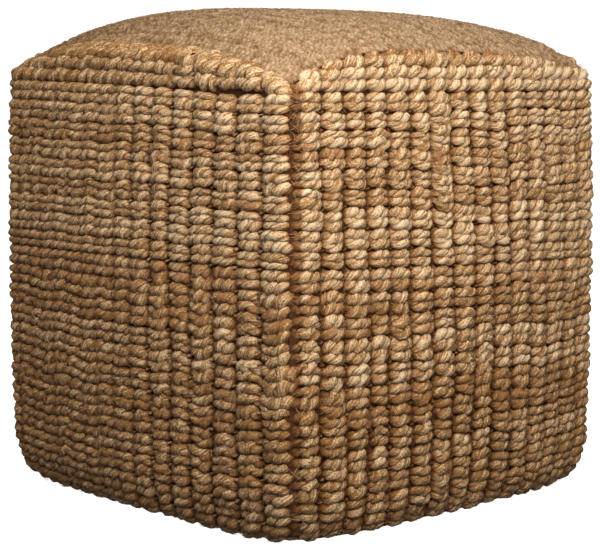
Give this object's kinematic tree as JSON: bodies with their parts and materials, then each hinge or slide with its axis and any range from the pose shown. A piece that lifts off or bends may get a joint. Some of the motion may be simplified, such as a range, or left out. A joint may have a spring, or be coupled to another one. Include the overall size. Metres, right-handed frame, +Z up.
{
  "type": "jute pouf",
  "caption": "Square stuffed pouf with thick woven jute sides, a finer woven crowned top and a flat base, used as a footstool or low seat.",
  "frame": {"origin": "on the floor, under the middle of the pouf", "axes": "+Z up, the four side panels face -Y (front), +X (right), +Y (back) and -X (left)"},
  "size_m": [0.4271, 0.4228, 0.4585],
  "materials": {
    "side_jute": "thick two-ply jute in rows of twisted rope, matt and hairy",
    "top_jute": "finer plain-woven jute, matt",
    "base_cloth": "plain base cloth, matt"
  },
  "bodies": {
    "root": {"stuffed_body": "top_jute", "side_panel_front": "side_jute", "side_panel_right": "side_jute", "side_panel_back": "side_jute", "side_panel_left": "side_jute", "bottom_panel": "base_cloth"}
  },
  "joints": []
}
